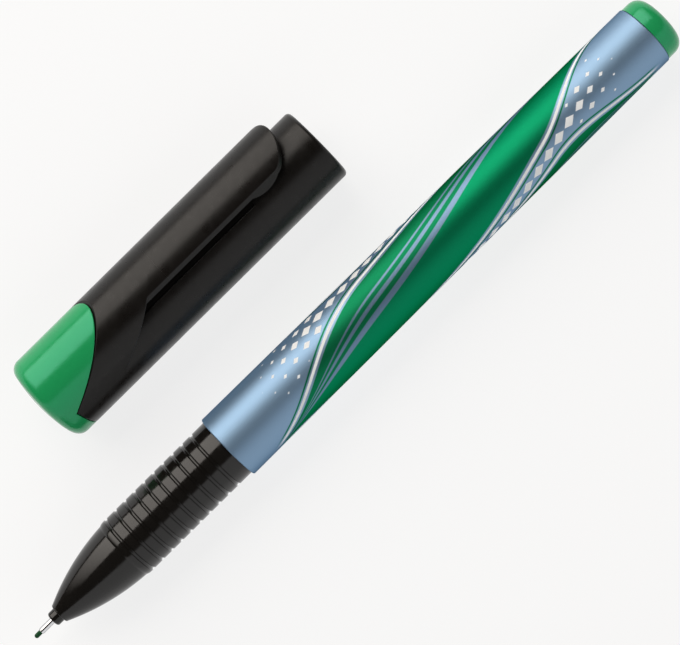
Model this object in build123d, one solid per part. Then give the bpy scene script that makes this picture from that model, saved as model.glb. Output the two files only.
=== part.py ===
from build123d import *
import math
import os

# A fineliner pen lying on a table, with its cap taken off and laid beside it.
# Lengths are in millimetres and angles in degrees.
# The pen lies along X with its nib towards -X, the cap lies beside it at +Y, and +Z is up.

# Writing tip
nib_exposed = 1.2                # fibre core ahead of its steel sleeve
nib_core_diameter = 0.7
sleeve_exposed = 2.3             # steel sleeve ahead of the holder
sleeve_wall = 0.115
sleeve_rolled_length = 0.25      # rolled-in front edge of the sleeve
sleeve_rolled_depth = 0.05
holder_exposed = 1.3             # black bush ahead of the nose
holder_wall = 0.66
holder_edge = 0.35
holder_front_length = 3.0        # bush inside the nose, as far as its flange
holder_flange_height = 0.55
holder_flange_length = 1.5
holder_tail_length = 3.0

# Ribbed grip section
grip_diameter = 9.84
nose_length = 12.8
nose_end_wall = 0.46             # nose's end round the holder
nose_edge = 0.22
nose_bulge = 0.6                 # height of the ogive above its chord
nose_step = 0.19                 # step from the smooth nose up to the ribbed grip
first_rib_rounding = 0.75        # length of the first rib's rounded front
first_groove_setback = 1.3
groove_count = 10
groove_pitch = 1.88
groove_width = 0.6
groove_depth = 0.22
cap_seat_length = 2.55           # last groove to the barrel, where the cap grips
spigot_length = 9.0
spigot_wall = 0.55
spigot_edge = 0.4

# Barrel
barrel_length = 83.2
barrel_step = 0.43               # barrel's front edge above the cap seat
barrel_draft = 0.29              # taper of each side towards the rear
barrel_wall = 0.98               # at the rear, where it is thinnest
barrel_edge = 0.12

# End plug
plug_head_length = 3.55
plug_step = 0.13                 # plug head below the barrel's rear edge
plug_corner = 1.9
plug_dome = 0.35
plug_spigot_length = 6.0
plug_wall = 1.0
plug_floor = 2.0                 # thickness of the plug behind its hollow

# Ink store
film_thickness = 0.15
reservoir_setback = 3.5          # reservoir's front behind the start of the ribs
core_in_reservoir = 6.0
reservoir_end_gap = 0.4

# Cap
cap_length = 54.1
cap_wall = 1.01                  # round the mouth's bore
cap_lip_rounding = 0.65
cap_lead_in = 0.25
end_rounding = 1.7
end_dome = 1.1
end_exposed = 3.4                # end piece beyond the corner of the shell's end
end_corner_height = 1.08         # where the shell's end turns from slanted to nearly upright
root_setback = 10.3              # clip's slanted root ahead of the slanted end
root_edge = 0.12                 # rounding of the root's slanted rim
cap_end_rake = 31.7              # slope of the root and of the shell's slanted end
back_end_lean = 8                # lean of the shell's end on the side away from the clip
seam_gap = 0.15
seam_edge = 0.12                 # rounding of both rims of the joint
seal_setback = 2.45              # where the liner closes round the nose, ahead of the ribs
liner_step = 0.2                 # stop for the liner, larger than the mouth's bore
nib_room = 2.2                   # air ahead of the nib when the cap is on
end_hollow_diameter = 6.0
end_floor = 3.0

# Clip
clip_thickness = 0.82
clip_gap = 1.68
clip_width = 9.45
clip_tip_setback = 3.8           # clip's tip from the mouth
clip_tip_length = 3.7            # length of the clip's rounded end
clip_edge = 0.14
pad_radius = 4.0
pad_setback = 6.0                # middle of the pad from the clip's tip
pad_drop = 0.85                  # pad below the clip's lower edges
pad_clearance = 0.4
recess_inset = 0.46              # shallow recess under the clip, inside the clip's edges
recess_depth = 0.32
recess_setback = 8.8             # recess behind the clip's tip
recess_edge = 0.15

# Fits
press_fit = 0.01                 # pieces pushed together for good
slip_fit = 0.03                  # pieces put together by hand
seat_gap = 0.05                  # faces that stop against each other
seal_clearance = 0.06            # sealing liner round the nose
cap_clearance = 0.12             # cap's bore round its seat
root_gap = 0.005                 # clip against its root
overrun = 1.0                    # tools past the faces they cut

# Where the cap lies beside the pen
cap_mouth_station = 77.85        # cap's mouth behind the nib's point
cap_axis_offset = 21.69          # between the two axes
cap_roll = 44                    # clip leans away from the pen

# Stations along the pen, from the nib's point
sleeve_station = nib_exposed
holder_station = sleeve_station + sleeve_exposed
nose_station = holder_station + holder_exposed
flange_station = nose_station + holder_front_length
tail_station = flange_station + holder_flange_length
holder_end_station = tail_station + holder_tail_length
rib_station = nose_station + nose_length
groove_station = rib_station + first_groove_setback
last_groove_station = groove_station + (groove_count - 1) * groove_pitch
barrel_station = last_groove_station + cap_seat_length
plug_station = barrel_station + barrel_length
pen_length = plug_station + plug_head_length
spigot_end_station = barrel_station + spigot_length
reservoir_station = rib_station + reservoir_setback
plug_front_station = plug_station - plug_spigot_length
reservoir_end_station = plug_front_station - reservoir_end_gap

# Radii and heights that follow from the sizes above
core_radius = nib_core_diameter / 2
sleeve_bore_radius = core_radius + press_fit
sleeve_radius = sleeve_bore_radius + sleeve_wall
holder_bore_radius = sleeve_radius + press_fit
holder_radius = holder_bore_radius + holder_wall
flange_radius = holder_radius + holder_flange_height
nose_end_radius = holder_radius + nose_end_wall
grip_radius = grip_diameter / 2
nose_rear_radius = grip_radius - nose_step
barrel_radius = grip_radius + barrel_step
barrel_rear_radius = barrel_radius - barrel_length * math.tan(math.radians(barrel_draft))
barrel_bore_radius = barrel_rear_radius - barrel_wall
spigot_radius = barrel_bore_radius - press_fit
plug_radius = barrel_rear_radius - plug_step
reservoir_bore_radius = spigot_radius - spigot_wall
film_radius = reservoir_bore_radius - slip_fit
film_bore_radius = film_radius - film_thickness
reservoir_radius = film_bore_radius - press_fit
cap_bore_radius = grip_radius + cap_clearance
cap_radius = cap_bore_radius + cap_wall
cap_diameter = 2 * cap_radius
liner_bore_radius = cap_bore_radius + liner_step
liner_radius = liner_bore_radius - slip_fit
clip_raise = clip_gap + clip_thickness
clip_top = clip_raise + cap_radius
clip_half_width = clip_width / 2
clip_edge_height = clip_gap + math.sqrt(cap_radius ** 2 - clip_half_width ** 2)

# Stations along the cap, from its mouth, and slopes on its side
rake_run = 1 / math.tan(math.radians(cap_end_rake))
shell_length = cap_length - end_exposed
end_foot = shell_length + end_corner_height * rake_run
root_foot = end_foot - root_setback
hinge_station = root_foot - clip_top * rake_run
liner_depth = barrel_station - (rib_station - seal_setback)
recess_start = clip_tip_setback + recess_setback
recess_width = clip_width - 2 * recess_inset
clip_end_station = hinge_station - root_gap


def rod(start, end, radius):
    """A round bar along X between two stations."""
    bar = Cylinder(radius, end - start, align=(Align.CENTER, Align.CENTER, Align.MIN))
    return Pos(start, 0, 0) * Rot(0, 90, 0) * bar


def turned(edges):
    """A solid turned about the X axis from a closed outline in the XY plane."""
    return revolve(make_face(edges), Axis.X)


def outline(*points):
    """Straight edges through the points, as a list."""
    return [Line(first, second) for first, second in zip(points, points[1:])]


def nose_radius(station):
    """Radius of the ogive nose at a station along the pen."""
    front = (nose_station + nose_edge, nose_end_radius)
    rear = (rib_station, nose_rear_radius)
    run = rear[0] - front[0]
    rise = rear[1] - front[1]
    chord = math.hypot(run, rise)
    arc_radius = (chord ** 2 / 4 + nose_bulge ** 2) / (2 * nose_bulge)
    below = arc_radius - nose_bulge
    centre_x = (front[0] + rear[0]) / 2 + below * rise / chord
    centre_y = (front[1] + rear[1]) / 2 - below * run / chord
    return centre_y + math.sqrt(arc_radius ** 2 - (station - centre_x) ** 2)


def make_core():
    """Fibre core: a rod with a round point, from the paper back into the ink."""
    quarter = core_radius * (1 - math.sqrt(1 / 2))
    half_height = core_radius * math.sqrt(1 / 2)
    end = reservoir_station + core_in_reservoir
    point = ThreePointArc((0, 0), (quarter, half_height), (core_radius, core_radius))
    edges = [point]
    edges += outline((core_radius, core_radius), (end, core_radius), (end, 0), (0, 0))
    return turned(edges)


def make_sleeve():
    """Drawn steel tube round the core, rolled in at its front edge."""
    rolled = sleeve_radius - sleeve_rolled_depth
    straight = sleeve_station + sleeve_rolled_length
    end = holder_end_station
    edges = outline(
        (sleeve_station, sleeve_bore_radius),
        (sleeve_station, rolled),
        (straight, sleeve_radius),
        (end, sleeve_radius),
        (end, sleeve_bore_radius),
        (sleeve_station, sleeve_bore_radius),
    )
    return turned(edges)


def make_holder():
    """Flanged bush that carries the sleeve in the nose."""
    rounded = holder_edge * (1 - math.sqrt(1 / 2))
    edge_start = (holder_station, holder_radius - holder_edge)
    edge_middle = (holder_station + rounded, holder_radius - rounded)
    edge_end = (holder_station + holder_edge, holder_radius)
    edges = [ThreePointArc(edge_start, edge_middle, edge_end)]
    edges += outline(
        edge_end,
        (flange_station + seat_gap, holder_radius),
        (flange_station + seat_gap, flange_radius),
        (tail_station, flange_radius),
        (tail_station, holder_radius),
        (holder_end_station, holder_radius),
        (holder_end_station, holder_bore_radius),
        (holder_station, holder_bore_radius),
        edge_start,
    )
    return turned(edges)


def make_grip():
    """Grip section: ogive nose, ribbed grip, plain cap seat and a spigot for the barrel."""
    rounded = nose_edge * (1 - math.sqrt(1 / 2))
    edge_start = (nose_station, nose_end_radius - nose_edge)
    edge_middle = (nose_station + rounded, nose_end_radius - rounded)
    edge_end = (nose_station + nose_edge, nose_end_radius)
    edges = outline((nose_station, 0), edge_start)
    edges.append(ThreePointArc(edge_start, edge_middle, edge_end))
    nose_rear = (rib_station, nose_rear_radius)
    edges.append(SagittaArc(edge_end, nose_rear, nose_bulge))
    rib_arc_radius = (first_rib_rounding ** 2 + nose_step ** 2) / (2 * nose_step)
    half_angle = math.asin(first_rib_rounding / rib_arc_radius) / 2
    corner = (rib_station + first_rib_rounding, grip_radius)
    rib_middle_drop = rib_arc_radius * (1 - math.cos(half_angle))
    rib_middle = (corner[0] - rib_arc_radius * math.sin(half_angle), grip_radius - rib_middle_drop)
    edges.append(ThreePointArc(nose_rear, rib_middle, corner))
    for index in range(groove_count):
        middle = groove_station + index * groove_pitch
        start = (middle - groove_width / 2, grip_radius)
        floor = (middle, grip_radius - groove_depth)
        end = (middle + groove_width / 2, grip_radius)
        edges += outline(corner, start)
        edges.append(ThreePointArc(start, floor, end))
        corner = end
    edges += outline(
        corner,
        (barrel_station, grip_radius),
        (barrel_station, spigot_radius),
        (spigot_end_station - spigot_edge, spigot_radius),
        (spigot_end_station, spigot_radius - spigot_edge),
        (spigot_end_station, 0),
        (nose_station, 0),
    )
    grip = turned(edges)
    grip -= rod(nose_station - overrun, flange_station + overrun, holder_radius + press_fit)
    grip -= rod(flange_station, reservoir_station, flange_radius + press_fit)
    stop = reservoir_station - seat_gap
    return grip - rod(stop, spigot_end_station + overrun, reservoir_bore_radius)


def make_barrel():
    """Slightly tapered tube with broken edges."""
    front = barrel_station + seat_gap
    rear = plug_station
    edges = outline(
        (front, barrel_bore_radius),
        (front, barrel_radius - barrel_edge),
        (front + barrel_edge, barrel_radius),
        (rear - barrel_edge, barrel_rear_radius),
        (rear, barrel_rear_radius - barrel_edge),
        (rear, barrel_bore_radius),
        (front, barrel_bore_radius),
    )
    return turned(edges)


def make_plug():
    """Domed end plug with a hollow spigot in the barrel."""
    head = plug_station + seat_gap
    flat = pen_length - plug_dome
    rounded = plug_corner * (1 - math.sqrt(1 / 2))
    corner_start = (flat - plug_corner, plug_radius)
    corner_middle = (flat - rounded, plug_radius - rounded)
    corner_end = (flat, plug_radius - plug_corner)
    dome_rim = plug_radius - plug_corner
    dome_radius = (dome_rim ** 2 + plug_dome ** 2) / (2 * plug_dome)
    half_angle = math.asin(dome_rim / dome_radius) / 2
    dome_drop = dome_radius * (1 - math.cos(half_angle))
    dome_middle = (pen_length - dome_drop, dome_radius * math.sin(half_angle))
    edges = outline(
        (plug_front_station, 0),
        (plug_front_station, spigot_radius),
        (head, spigot_radius),
        (head, plug_radius),
        corner_start,
    )
    edges.append(ThreePointArc(corner_start, corner_middle, corner_end))
    edges.append(ThreePointArc(corner_end, dome_middle, (pen_length, 0)))
    edges += outline((pen_length, 0), (plug_front_station, 0))
    plug = turned(edges)
    hollow_end = pen_length - plug_floor
    return plug - rod(plug_front_station - overrun, hollow_end, spigot_radius - plug_wall)


def make_reservoir():
    """Fibre rod that holds the ink, with a blind hole for the core."""
    store = rod(reservoir_station, reservoir_end_station, reservoir_radius)
    hole_end = reservoir_station + core_in_reservoir + seat_gap
    return store - rod(reservoir_station - overrun, hole_end, sleeve_bore_radius)


def make_film():
    """Plastic film rolled round the fibre rod."""
    film = rod(reservoir_station, reservoir_end_station, film_radius)
    return film - rod(reservoir_station - overrun, reservoir_end_station + overrun, film_bore_radius)


def raised_bar(start, end):
    """The cap's egg-shaped section, from its round back to the top of the clip, along X."""
    section = Plane.YZ * Pos(0, clip_raise / 2) * Rot(0, 0, 90) * SlotCenterToCenter(clip_raise, cap_diameter)
    return Pos(start, 0, 0) * extrude(section, end - start)


def side_prism(points):
    """A prism right through the cap, from corners given along the cap and up to the clip."""
    return extrude(Plane.XZ * make_face(outline(*points, points[0])), cap_diameter, both=True)


def behind_slope(foot):
    """Everything on the closed side of a plane that slopes down from the clip to the foot."""
    high = clip_top + overrun
    low = cap_radius + overrun
    past = cap_length + overrun + low * rake_run
    top = (foot - high * rake_run, high)
    bottom = (foot + low * rake_run, -low)
    return side_prism([top, bottom, (past + overrun, -low), (past + overrun, high)])


def end_piece_zone(shift):
    """Where the cap's end piece shows: behind the slanted joint, and behind the shell's leaning back end."""
    foot = end_foot + shift
    corner = shell_length + shift
    high = clip_top + overrun
    low = cap_radius + overrun
    past = cap_length + overrun
    lean = (end_corner_height + low) * math.tan(math.radians(back_end_lean))
    return side_prism([
        (corner - lean, -low),
        (corner, end_corner_height),
        (foot - high * rake_run, high),
        (past, high),
        (past, -low),
    ])


def round_rim(piece, side):
    """Rounds the outer rim of a piece where the slanted joint cuts it, on the mouth's or the closed side."""
    joint = piece.faces().filter_by(GeomType.PLANE).filter_by(lambda face: face.normal_at().X * side > 0)
    joint = joint.filter_by(lambda face: face.center().X > hinge_station)
    rim = joint.edges().filter_by(Axis.Y, reverse=True)
    return fillet(rim, seam_edge)


def clip_band(start, end):
    """The clip's bowed section along X: the body's curve raised, with its underside parallel."""
    band = Pos(0, clip_raise) * Circle(cap_radius)
    band -= Pos(0, clip_gap) * Circle(cap_radius)
    band &= Pos(0, clip_top) * Rectangle(clip_width, 2 * clip_top)
    return Pos(start, 0, 0) * extrude(Plane.YZ * band, end - start)


def clip_plan(end):
    """The clip's outline from above, with its rounded tip, as a tall prism."""
    shoulder = clip_tip_setback + clip_tip_length
    plan = Pos(shoulder, 0) * Ellipse(clip_tip_length, clip_half_width)
    plan += Pos((shoulder + end) / 2, 0) * Rectangle(end - shoulder, clip_width)
    return extrude(plan, clip_top + overrun)


def make_shell():
    """Black cap shell: round body with a shallow recess under the clip, and the clip's solid root."""
    body = rod(0, cap_length, cap_radius)
    body = fillet(body.edges().group_by(Axis.X)[0], cap_lip_rounding)
    recess_size = (root_foot - recess_start, recess_width, clip_top)
    recess = Pos(recess_start, 0, 0) * Box(*recess_size, align=(Align.MIN, Align.CENTER, Align.MIN))
    body -= recess - rod(0, cap_length, cap_radius - recess_depth)
    body = fillet(body.edges().filter_by(Axis.X).group_by(Axis.Z)[-1], recess_edge)
    root = raised_bar(hinge_station, cap_length) & behind_slope(root_foot)
    slope = root.faces().filter_by(GeomType.PLANE).filter_by(lambda face: face.normal_at().X < 0)
    root = fillet(slope.edges(), root_edge)
    stub = clip_band(hinge_station, root_foot - (clip_edge_height - clip_thickness) * rake_run)
    stub = fillet(stub.edges().filter_by(Axis.X).group_by(Axis.Z)[-1], clip_edge)
    shell = body + root + stub
    shell = round_rim(shell - end_piece_zone(0), 1)
    shell -= rod(-overrun, liner_depth + overrun, cap_bore_radius)
    shell -= rod(liner_depth, cap_length, liner_bore_radius)
    lead_in = Cone(cap_bore_radius + cap_lead_in, cap_bore_radius, cap_lead_in)
    return shell - Pos(cap_lead_in / 2, 0, 0) * Rot(0, 90, 0) * lead_in


def make_clip():
    """Wide bowed clip with a rounded tip and a thick pad beneath the tip."""
    clip = clip_band(clip_tip_setback, clip_end_station)
    pad_height = clip_edge_height - pad_drop + pad_radius
    pad = Rot(90, 0, 0) * Cylinder(pad_radius, clip_width)
    pad = Pos(clip_tip_setback + pad_setback, 0, pad_height) * pad
    pad &= Pos(0, 0, -clip_thickness / 2) * raised_bar(0, clip_end_station)
    pad -= rod(0, cap_length, cap_radius + pad_clearance)
    clip = (clip + pad) & clip_plan(clip_end_station)
    top_face = clip.faces().filter_by(GeomType.CYLINDER).sort_by(Axis.Z)[-1]
    rim = [edge for edge in top_face.edges() if edge.center().X < clip_end_station - root_gap]
    return fillet(rim, clip_edge)


def make_inner_cap():
    """Cap's end piece, with the sealing liner that closes round the pen's nose."""
    head = raised_bar(0, cap_length)
    dome_reach = clip_top / 2 + cap_radius / 2
    dome_radius = (dome_reach ** 2 + end_dome ** 2) / (2 * end_dome)
    head &= Pos(cap_length - dome_radius, 0, clip_raise / 2) * Sphere(dome_radius)
    head = fillet(head.edges().group_by(Axis.X)[-1], end_rounding)
    head = round_rim(head & end_piece_zone(seam_gap), -1)
    liner_lip = liner_depth + seat_gap
    piece = head + rod(liner_lip, shell_length + seam_gap + overrun, liner_radius)
    seal_radius = nose_radius(barrel_station - liner_depth) + seal_clearance
    chamber_end = barrel_station + nib_room
    piece -= rod(liner_lip - overrun, chamber_end, seal_radius)
    return piece - rod(chamber_end - overrun, cap_length - end_floor, end_hollow_diameter / 2)


def cap_reach():
    """How far the rolled cap reaches beyond its axis, away from the pen."""
    return clip_raise * math.sin(math.radians(cap_roll)) + cap_radius


def pen_place():
    """Moves the pen from its own axis to the table, with the whole row about the origin."""
    side = (cap_axis_offset + cap_reach() - barrel_radius) / 2
    return Pos(-pen_length / 2, -side, barrel_radius)


def cap_place():
    """Lays the cap beside the pen, mouth towards +X, with the clip rolled away from the pen."""
    side = (cap_axis_offset + cap_reach() - barrel_radius) / 2
    lay = Pos(cap_mouth_station - pen_length / 2, cap_axis_offset - side, cap_radius)
    return lay * Rot(-cap_roll, 0, 0) * Rot(0, 0, 180)


def main():
    os.makedirs("parts", exist_ok=True)
    pen = pen_place()
    cap = cap_place()
    export_step(pen * make_barrel(), "parts/barrel.step")
    export_step(pen * make_grip(), "parts/grip_section.step")
    export_step(pen * make_holder(), "parts/nib_holder.step")
    export_step(pen * make_sleeve(), "parts/tip_sleeve.step")
    export_step(pen * make_core(), "parts/writing_core.step")
    export_step(pen * make_reservoir(), "parts/ink_reservoir.step")
    export_step(pen * make_film(), "parts/reservoir_film.step")
    export_step(pen * make_plug(), "parts/end_plug.step")
    export_step(cap * make_shell(), "parts/cap_shell.step")
    export_step(cap * make_clip(), "parts/cap_clip.step")
    export_step(cap * make_inner_cap(), "parts/inner_cap.step")


if __name__ == "__main__":
    main()
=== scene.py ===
import math

import bpy
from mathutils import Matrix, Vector


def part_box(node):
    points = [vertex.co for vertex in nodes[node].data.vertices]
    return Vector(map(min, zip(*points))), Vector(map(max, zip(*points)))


# Materials, studio light and camera for a fineliner pen that lies beside its cap
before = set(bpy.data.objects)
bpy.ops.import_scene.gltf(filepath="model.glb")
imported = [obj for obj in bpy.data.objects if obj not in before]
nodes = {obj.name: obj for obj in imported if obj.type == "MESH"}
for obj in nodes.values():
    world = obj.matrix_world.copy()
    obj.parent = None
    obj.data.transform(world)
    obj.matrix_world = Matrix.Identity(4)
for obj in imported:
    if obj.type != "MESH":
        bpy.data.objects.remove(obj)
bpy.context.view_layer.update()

MM = 0.001
MICRON = 0.000001

# The photograph's frame and where the pen lies in it
PHOTO_WIDTH = 680
PHOTO_HEIGHT = 645
NIB_PIXEL = (36.4, 638.6)        # the nib's point
PEN_HEADING = 44.67              # degrees that the pen climbs to the right
PEN_LINE_SHIFT = 1.6             # pixels that the pen's centre line passes up and left of the point
PIXELS_PER_MM = 7.05             # at the height of the pen's axis
CAMERA_HEIGHT = 0.355            # metres above the pen's axis
CAMERA_CLIP_START = 0.01
SENSOR_WIDTH = 36.0

# Light
KEY_RADIANCE = 3.4               # softbox up and to the left of the pen
KEY_TINT = (1.0, 0.94, 0.87)
KEY_LENGTH = 1.28                # metres along the pen
KEY_EVEN_SHARE = 0.31            # of its length, in the middle, before it dims towards its ends
KEY_DEPTH = 0.7
KEY_DISTANCE = 0.65
KEY_TILT = 53.5                  # degrees from straight above, towards the cap
ROOM_RADIANCE = 0.88             # pale wall on the pen's side
ROOM_COLOUR = (1.0, 1.0, 1.0, 1.0)
SHADE_RADIANCE = 0.04            # dark ceiling, and dark cloth behind the softbox
WALL_START = 25                  # degrees from straight above, where the wall begins to show
WALL_FULL = 33
FLOOR_COLOUR = (0.9, 0.9, 0.9, 1.0)
FLOOR_GLOW = 0.8                 # share of the floor's white that its shadows don't dim
FLOOR_SIZE = 6.0

# The pen's axis, the nib's point and the barrel's ends, from the frame
barrel_low, barrel_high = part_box("barrel")
nib_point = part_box("writing_core")[0].x
pen_y = (barrel_low.y + barrel_high.y) / 2
pen_z = (barrel_low.z + barrel_high.z) / 2
barrel_front = barrel_low.x
barrel_length = barrel_high.x - barrel_low.x


class Nodes:
    """A node tree, with short calls for the nodes used here."""

    def __init__(self, tree):
        self.tree = tree

    def add(self, kind, **settings):
        node = self.tree.nodes.new(kind)
        for name, value in settings.items():
            setattr(node, name, value)
        return node

    def feed(self, socket, value):
        """Links an output to a socket, or sets the socket's own value."""
        if isinstance(value, bpy.types.NodeSocket):
            self.tree.links.new(value, socket)
        else:
            socket.default_value = value

    def math(self, operation, *values):
        node = self.add("ShaderNodeMath", operation=operation)
        for socket, value in zip(node.inputs, values):
            self.feed(socket, value)
        return node.outputs[0]

    def distance(self, value, middle):
        """How far a value lies from a middle, on either side."""
        return self.math("ABSOLUTE", self.math("SUBTRACT", value, middle))

    def ramp(self, value, low, high, to_low=0.0, to_high=1.0, smooth=True):
        """Maps low..high to to_low..to_high, clamped."""
        kind = "SMOOTHSTEP" if smooth else "LINEAR"
        node = self.add("ShaderNodeMapRange", interpolation_type=kind)
        for socket, item in zip(node.inputs, (value, low, high, to_low, to_high)):
            self.feed(socket, item)
        return node.outputs["Result"]

    def split(self, vector):
        """The X, Y and Z of a vector."""
        node = self.add("ShaderNodeSeparateXYZ")
        self.feed(node.inputs[0], vector)
        return node.outputs

    def mix(self, factor, first, second):
        """A colour between two."""
        node = self.add("ShaderNodeMix", data_type="RGBA")
        self.feed(node.inputs["Factor"], factor)
        self.feed(node.inputs["A"], first)
        self.feed(node.inputs["B"], second)
        return node.outputs["Result"]


class Shader(Nodes):
    """A material with a principled surface, textured in the frame's own coordinates."""

    def __init__(self, name):
        self.material = bpy.data.materials.new(name)
        self.material.use_nodes = True
        super().__init__(self.material.node_tree)
        self.surface = self.tree.nodes["Principled BSDF"]
        self.place = self.add("ShaderNodeTexCoord").outputs["Object"]

    def noise(self, scale, detail=2, stretch=(1, 1, 1)):
        """Noise at so many cells per metre, stretched along the frame's axes."""
        mapping = self.add("ShaderNodeMapping")
        self.feed(mapping.inputs["Vector"], self.place)
        self.feed(mapping.inputs["Scale"], stretch)
        node = self.add("ShaderNodeTexNoise")
        self.feed(node.inputs["Vector"], mapping.outputs["Vector"])
        self.feed(node.inputs["Scale"], scale)
        self.feed(node.inputs["Detail"], detail)
        return node.outputs["Fac"]

    def vary(self, noise, low, high, spread=0.2):
        """Goes from low to high as the noise crosses its middle, over the spread on each side."""
        return self.ramp(noise, 0.5 - spread, 0.5 + spread, low, high)

    def bump(self, height, depth):
        """Relief of so many metres on the surface."""
        node = self.add("ShaderNodeBump")
        self.feed(node.inputs["Height"], height)
        self.feed(node.inputs["Distance"], depth)
        self.feed(self.surface.inputs["Normal"], node.outputs["Normal"])

    def set(self, **values):
        """Sets or links inputs of the surface, with _ for each space in their names."""
        for name, value in values.items():
            self.feed(self.surface.inputs[name.replace("_", " ")], value)


def colour(red, green, blue):
    """A colour as written on a screen, 0 to 255, in linear light."""
    def linear(value):
        share = value / 255
        return share / 12.92 if share <= 0.04045 else ((share + 0.055) / 1.055) ** 2.4
    return (linear(red), linear(green), linear(blue), 1.0)


# Flake lacquer and drawn steel turn dark where they are seen at a grazing angle
GRAZING_TINT = colour(40, 44, 50)
PLASTIC_IOR = 1.455
STREAK_SPREAD = 0.3              # of the noise along drawn steel and fibres


def gloss_black():
    """Polished black plastic with faint swirl marks."""
    s = Shader("gloss_black")
    cloud = s.noise(180, detail=3)
    haze = s.noise(2600)
    swirls = s.noise(5200, stretch=(0.35, 1, 1))
    s.set(
        Base_Color=s.mix(cloud, colour(14, 12, 10), colour(24, 22, 20)),
        Roughness=s.vary(haze, 0.1, 0.17),
        IOR=PLASTIC_IOR,
    )
    s.bump(swirls, 1.5 * MICRON)
    return s.material


def satin_black():
    """Fine spark-eroded black plastic."""
    s = Shader("satin_black")
    cloud = s.noise(150, detail=3)
    haze = s.noise(900, detail=3)
    grain = s.noise(9000, detail=3)
    s.set(
        Base_Color=s.mix(cloud, colour(13, 11, 9), colour(21, 18, 16)),
        Roughness=s.vary(haze, 0.27, 0.34),
        Specular_IOR_Level=0.27,
    )
    s.bump(grain, 4 * MICRON)
    return s.material


def gloss_green():
    """Dyed green plastic with slight flow marks."""
    s = Shader("gloss_green")
    flow = s.noise(120, detail=3, stretch=(0.4, 1, 1))
    haze = s.noise(1500)
    ripples = s.noise(4200)
    s.set(
        Base_Color=s.mix(flow, colour(28, 147, 83), colour(36, 157, 93)),
        Roughness=s.vary(haze, 0.16, 0.24),
        Specular_IOR_Level=0.65,
        Specular_Tint=colour(158, 255, 236),
    )
    s.bump(ripples, 2 * MICRON)
    return s.material


def drawn_steel():
    """Drawn stainless tube with lengthwise draw lines."""
    s = Shader("drawn_steel")
    lines = s.noise(9000, stretch=(0.03, 1, 1))
    s.set(
        Base_Color=s.mix(lines, colour(196, 196, 198), colour(236, 236, 238)),
        Metallic=1.0,
        Roughness=s.vary(lines, 0.08, 0.17, STREAK_SPREAD),
        Specular_Tint=GRAZING_TINT,
    )
    s.bump(lines, 2 * MICRON)
    return s.material


def inked_fibre(name, dry, wet):
    """Bundled fibres, streaked along the pen and darker where the ink stands."""
    s = Shader(name)
    strands = s.noise(16000, stretch=(0.02, 1, 1))
    patches = s.noise(2500)
    s.set(
        Base_Color=s.mix(s.math("MULTIPLY", strands, patches), wet, dry),
        Roughness=s.vary(strands, 0.45, 0.7, STREAK_SPREAD),
        Specular_IOR_Level=0.2,
    )
    s.bump(strands, 8 * MICRON)
    return s.material


def clear_film():
    """Milky plastic film with rolling creases."""
    s = Shader("clear_film")
    creases = s.noise(700, detail=3, stretch=(1, 0.3, 0.3))
    s.set(
        Base_Color=s.mix(creases, colour(214, 220, 224), colour(232, 236, 240)),
        Roughness=s.vary(creases, 0.18, 0.3),
    )
    s.bump(creases, 10 * MICRON)
    return s.material


# The barrel's print: places are shares of the barrel's length, and widths are shares of the room
# that each ribbon has round the barrel
PRINT_TWIST = 0.58               # turns from front to rear
PRINT_WAVES = 1.5                # sideways waves from front to rear
PRINT_WAVE_HEIGHT = 0.022        # in turns
PRINT_PHASE = 0.02               # in turns
PRINT_EDGE = 0.006               # half the softness of a printed edge
RIBBON_COUNT = 2
RIBBON_HALF_WIDTH = 0.36
RIBBON_START = (0.03, 0.36)      # where a ribbon begins and is full
RIBBON_END = (0.74, 1.0)         # where it begins to narrow and ends
RIBBON_SHOWN = (0.004, 0.03)     # half widths between which a ribbon's tip fades in
RIBBON_INK_SHARE = 0.5           # thickness of the ribbon's ink against the white's
SLITS = ((0.18, 0.07), (0.42, 0.045), (0.6, 0.025))    # middle and half width, in ribbon half widths
HAIRLINE = (0.035, 0.014)        # middle, from the ribbon's edge, and half width
SECOND_LINE = (0.072, 0.009)
LOZENGE_ROWS = 10                # in the room of one ribbon
LOZENGE_LENGTH = 2.6             # millimetres
LOZENGE_SIZE = 0.45              # half of its cell, less the gaps
LOZENGE_EDGE = 0.03              # half the softness of its edge, in cells
LOZENGE_SHOWN = (0.05, 0.09)     # sizes between which a lozenge fades in
LOZENGE_ROOM = (0.09, 0.135)     # from the ribbon's edge, where lozenges begin and are full
LOZENGE_FADE_ROWS = 4            # rows over which they shrink, away from the middle of the gap
LOZENGE_LEAST_SHARE = 0.2        # of their size, past those rows
LOZENGE_START = (0.06, 0.28)
LOZENGE_END = (0.78, 0.97)


def soft_band(s, value, middle, half):
    """1 where value lies within half of middle, with the softness of a printed edge."""
    inner = s.math("SUBTRACT", half, PRINT_EDGE)
    outer = s.math("ADD", half, PRINT_EDGE)
    return s.ramp(s.distance(value, middle), inner, outer, 1, 0)


def print_places(s):
    """Place along the barrel, and place across the room of one ribbon, from -0.5 to 0.5."""
    x, y, z = s.split(s.place)
    along = s.math("DIVIDE", s.math("SUBTRACT", x, barrel_front), barrel_length)
    turn = s.math("ARCTAN2", s.math("SUBTRACT", y, pen_y), s.math("SUBTRACT", z, pen_z))
    sway = s.math("SINE", s.math("MULTIPLY", along, 2 * math.pi * PRINT_WAVES))
    wave = s.math("MULTIPLY", sway, PRINT_WAVE_HEIGHT)
    lead = s.math("MULTIPLY_ADD", s.math("SUBTRACT", along, 0.5), PRINT_TWIST, PRINT_PHASE)
    phase = s.math("SUBTRACT", s.math("DIVIDE", turn, 2 * math.pi), s.math("ADD", lead, wave))
    cell = s.math("MULTIPLY_ADD", phase, RIBBON_COUNT, RIBBON_COUNT + 0.5)
    return along, s.math("SUBTRACT", s.math("FRACT", cell), 0.5)


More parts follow.
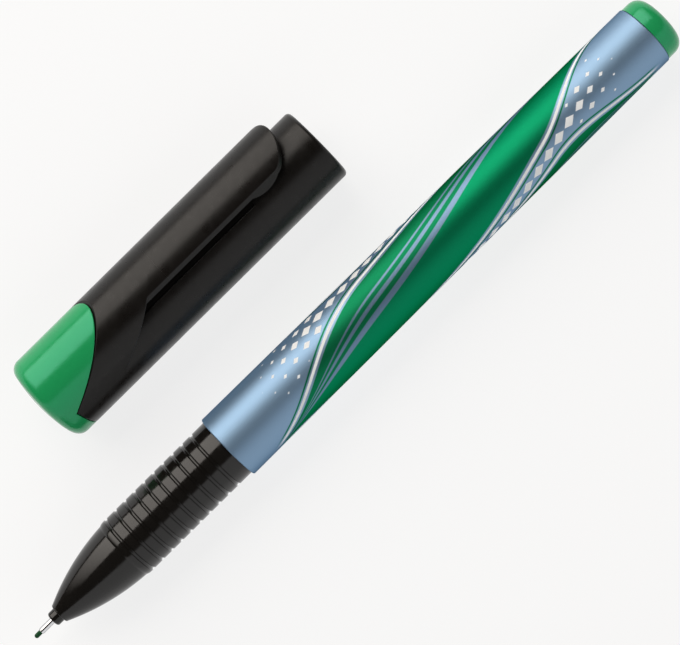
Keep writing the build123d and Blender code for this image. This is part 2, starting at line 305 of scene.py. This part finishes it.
def ribbon_half_width(s, along):
    """A ribbon swells from a point and ends in one."""
    swell = s.math("MULTIPLY", s.ramp(along, *RIBBON_START), s.ramp(along, *RIBBON_END, 1, 0))
    return s.math("MULTIPLY", swell, RIBBON_HALF_WIDTH)


def ribbon_slits(s, side, half_width):
    """1 in the slits that run along a ribbon and narrow with it."""
    slits = 0.0
    for middle, half in SLITS:
        slit_middle = s.math("MULTIPLY", half_width, middle)
        slit_half = s.math("MULTIPLY", half_width, half)
        slits = s.math("MAXIMUM", slits, soft_band(s, side, slit_middle, slit_half))
    return slits


def lozenge_size(s, row, middle):
    """Half size of a lozenge, by its row from the middle of the gap and its place along the barrel."""
    middle_reach = s.math("SUBTRACT", 0.5, s.math("DIVIDE", row, LOZENGE_ROWS))
    room = s.math("SUBTRACT", middle_reach, ribbon_half_width(s, middle))
    size = s.ramp(room, *LOZENGE_ROOM, 0, LOZENGE_SIZE, smooth=False)
    by_row = s.ramp(row, 0, LOZENGE_FADE_ROWS, 1, LOZENGE_LEAST_SHARE, smooth=False)
    from_front = s.ramp(middle, *LOZENGE_START)
    to_rear = s.ramp(middle, *LOZENGE_END, 1, 0)
    for fade in (by_row, from_front, to_rear):
        size = s.math("MULTIPLY", size, fade)
    return size


def lozenges(s, along, reach):
    """1 in staggered rows between two ribbons, each lozenge whole and sized by where its middle lies."""
    cells = barrel_length / (LOZENGE_LENGTH * MM)
    rows = s.math("MULTIPLY_ADD", s.math("SUBTRACT", 0.5, reach), LOZENGE_ROWS, 0.5)
    row = s.math("FLOOR", rows)
    stagger = s.math("MULTIPLY", row, 0.5)
    columns = s.math("MULTIPLY_ADD", along, cells, stagger)
    column = s.math("SUBTRACT", s.math("FLOOR", columns), stagger)
    middle = s.math("DIVIDE", s.math("ADD", column, 0.5), cells)
    size = lozenge_size(s, row, middle)
    off_row = s.distance(s.math("FRACT", rows), 0.5)
    off_column = s.distance(s.math("FRACT", columns), 0.5)
    inside = s.math("SUBTRACT", size, s.math("ADD", off_row, off_column))
    return s.math("MULTIPLY", s.ramp(inside, -LOZENGE_EDGE, LOZENGE_EDGE), s.ramp(size, *LOZENGE_SHOWN))


def printed_lacquer():
    """Steel-blue metallic lacquer with twisted green ribbons, white hairlines and rows of lozenges."""
    s = Shader("metallic_print")
    along, side = print_places(s)
    reach = s.math("ABSOLUTE", side)
    half_width = ribbon_half_width(s, along)
    outside = s.math("SUBTRACT", reach, half_width)
    shown = s.ramp(half_width, *RIBBON_SHOWN)

    ribbon = s.math("MULTIPLY", s.ramp(outside, -PRINT_EDGE, PRINT_EDGE, 1, 0), shown)
    slits = s.math("MULTIPLY", ribbon_slits(s, side, half_width), ribbon)
    hairline = s.math("MULTIPLY", soft_band(s, outside, *HAIRLINE), shown)
    second_line = s.math("MULTIPLY", soft_band(s, outside, *SECOND_LINE), shown)
    white = s.math("MAXIMUM", hairline, lozenges(s, along, reach))

    flake = s.noise(9000, detail=1)
    first_slit = s.math("MULTIPLY", half_width, SLITS[0][0])
    past_slit = s.ramp(s.math("SUBTRACT", side, first_slit), -PRINT_EDGE, PRINT_EDGE)
    green = s.mix(past_slit, colour(14, 132, 90), colour(20, 120, 79))
    paint = s.mix(flake, colour(129, 157, 184), colour(141, 169, 196))
    paint = s.mix(ribbon, paint, green)
    paint = s.mix(slits, paint, colour(116, 142, 170))
    paint = s.mix(second_line, paint, colour(12, 118, 78))
    paint = s.mix(white, paint, colour(244, 246, 247))
    ink = s.math("ADD", white, s.math("MULTIPLY", ribbon, RIBBON_INK_SHARE))

    s.set(
        Base_Color=paint,
        Metallic=s.ramp(white, 0, 1, 1, 0),
        Roughness=s.vary(flake, 0.5, 0.56),
        Specular_Tint=GRAZING_TINT,
    )
    s.bump(ink, 4 * MICRON)
    return s.material


def dress(material, *names):
    """Gives CAD nodes a material of this scene."""
    for name in names:
        slots = nodes[name].data.materials
        slots.clear()
        slots.append(material)


def add_object(name, data):
    """A new object in the scene."""
    item = bpy.data.objects.new(name, data)
    bpy.context.scene.collection.objects.link(item)
    return item


def floor_paper():
    """Pale paper that the camera and reflections see nearly white, with the object's soft shadow."""
    s = Shader("floor_paper")
    s.set(Base_Color=FLOOR_COLOUR, Roughness=0.9, Specular_IOR_Level=0.1)
    rays = s.add("ShaderNodeLightPath").outputs
    seen = rays["Is Camera Ray"]
    for ray in ("Is Glossy Ray", "Is Transmission Ray"):
        seen = s.math("MAXIMUM", seen, rays[ray])
    white = s.add("ShaderNodeEmission")
    blend = s.add("ShaderNodeMixShader")
    s.feed(blend.inputs["Fac"], s.math("MULTIPLY", seen, FLOOR_GLOW))
    s.feed(blend.inputs[1], s.surface.outputs["BSDF"])
    s.feed(blend.inputs[2], white.outputs["Emission"])
    s.feed(s.tree.nodes["Material Output"].inputs["Surface"], blend.outputs["Shader"])
    return s.material


def pale_floor():
    """A plain pale table top."""
    half = FLOOR_SIZE / 2
    corners = [(-half, -half, 0), (half, -half, 0), (half, half, 0), (-half, half, 0)]
    mesh = bpy.data.meshes.new("floor")
    mesh.from_pydata(corners, [], [(0, 1, 2, 3)])
    mesh.materials.append(floor_paper())
    floor = add_object("floor", mesh)


def key_light():
    """A softbox on the cap's side, its long side along the pen and dimmer towards both ends."""
    lamp = bpy.data.lights.new("key", "AREA")
    lamp.shape = "RECTANGLE"
    lamp.size = KEY_LENGTH
    lamp.size_y = KEY_DEPTH
    lamp.energy = KEY_RADIANCE * math.pi * KEY_LENGTH * KEY_DEPTH
    lamp.color = KEY_TINT
    lamp.use_nodes = True
    n = Nodes(lamp.node_tree)
    lengthwise = n.split(n.add("ShaderNodeNewGeometry").outputs["Parametric"])["X"]
    strength = n.ramp(n.distance(lengthwise, 0.5), KEY_EVEN_SHARE / 2, 0.5, 1, 0, smooth=False)
    n.feed(n.tree.nodes["Emission"].inputs["Strength"], strength)

    tilt = math.radians(KEY_TILT)
    direction = Vector((0, math.sin(tilt), math.cos(tilt)))
    item = add_object("key", lamp)
    item.location = Vector((0, 0, pen_z)) + direction * KEY_DISTANCE
    item.rotation_euler = direction.to_track_quat("Z", "Y").to_euler()
    item.visible_camera = False


def room_light():
    """A pale wall on the pen's side, under a dark ceiling that runs down behind the softbox."""
    world = bpy.data.worlds.new("studio")
    bpy.context.scene.world = world
    world.use_nodes = True
    n = Nodes(world.node_tree)
    direction = n.split(n.add("ShaderNodeTexCoord").outputs["Generated"])
    lean = n.math("ARCTAN2", n.math("MULTIPLY", direction["Y"], -1.0), direction["Z"])
    start = math.radians(WALL_START)
    full = math.radians(WALL_FULL)
    background = n.tree.nodes["Background"]
    n.feed(background.inputs["Strength"], n.ramp(lean, start, full, SHADE_RADIANCE, ROOM_RADIANCE))
    n.feed(background.inputs["Color"], ROOM_COLOUR)


def camera():
    """Straight down on the table, turned so that the pen climbs to the right as in the photograph."""
    heading = math.radians(PEN_HEADING)
    right = PHOTO_WIDTH / 2 - NIB_PIXEL[0]
    rise = NIB_PIXEL[1] - PHOTO_HEIGHT / 2
    along = right * math.cos(heading) + rise * math.sin(heading)
    aside = rise * math.cos(heading) - right * math.sin(heading)
    x = nib_point + along / PIXELS_PER_MM * MM
    y = pen_y + (aside - PEN_LINE_SHIFT) / PIXELS_PER_MM * MM
    data = bpy.data.cameras.new("camera")
    data.sensor_width = SENSOR_WIDTH
    data.lens = PIXELS_PER_MM / MM * CAMERA_HEIGHT * SENSOR_WIDTH / PHOTO_WIDTH
    data.clip_start = CAMERA_CLIP_START
    item = add_object("camera", data)
    item.location = (x, y, pen_z + CAMERA_HEIGHT)
    item.rotation_euler = (0, 0, -heading)
    bpy.context.scene.camera = item


def main():
    camera()
    key_light()
    room_light()
    pale_floor()
    dress(printed_lacquer(), "barrel")
    dress(gloss_black(), "grip_section", "nib_holder")
    dress(drawn_steel(), "tip_sleeve")
    dress(inked_fibre("inked_fibre", dry=colour(20, 102, 52), wet=colour(3, 46, 22)), "writing_core")
    dress(inked_fibre("ink_store", dry=colour(120, 190, 140), wet=colour(24, 120, 66)), "ink_reservoir")
    dress(clear_film(), "reservoir_film")
    dress(gloss_green(), "end_plug", "inner_cap")
    dress(satin_black(), "cap_shell", "cap_clip")
    bpy.context.scene.view_settings.view_transform = "Standard"


main()
